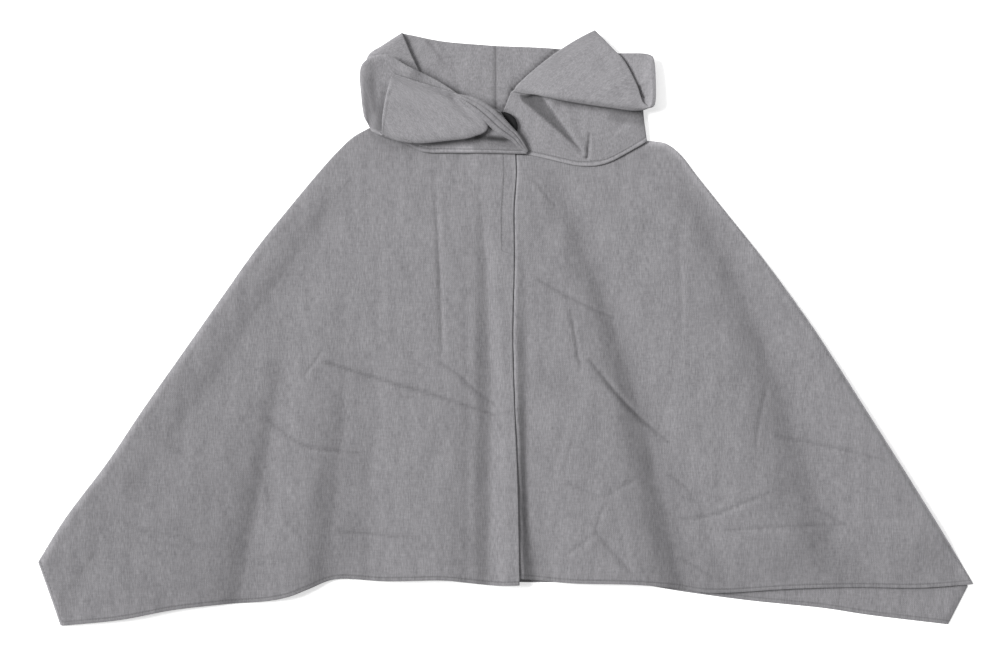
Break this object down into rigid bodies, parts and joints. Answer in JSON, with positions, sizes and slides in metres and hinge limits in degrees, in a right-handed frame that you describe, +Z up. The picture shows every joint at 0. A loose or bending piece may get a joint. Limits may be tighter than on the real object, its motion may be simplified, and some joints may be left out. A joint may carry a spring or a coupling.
{
  "type": "poncho",
  "caption": "Hip-length flared poncho in heavy cloth with an open front, a wide folded funnel collar and a neck button, laid flat on its back",
  "frame": {"origin": "Centre of the footprint on the surface that the garment lies on", "axes": "+X to the wearer's left across the garment, +Y from the hem towards the collar, +Z up from the surface"},
  "size_m": [1.1208, 0.7124, 0.029],
  "materials": {
    "wool_cloth": "brushed melange twill",
    "button_black": "semi-gloss"
  },
  "bodies": {
    "root": {"back_panel": "wool_cloth", "front_right": "wool_cloth", "front_left": "wool_cloth", "collar_left": "wool_cloth", "collar_right_front": "wool_cloth", "collar_right_back": "wool_cloth", "button": "button_black"}
  },
  "joints": []
}
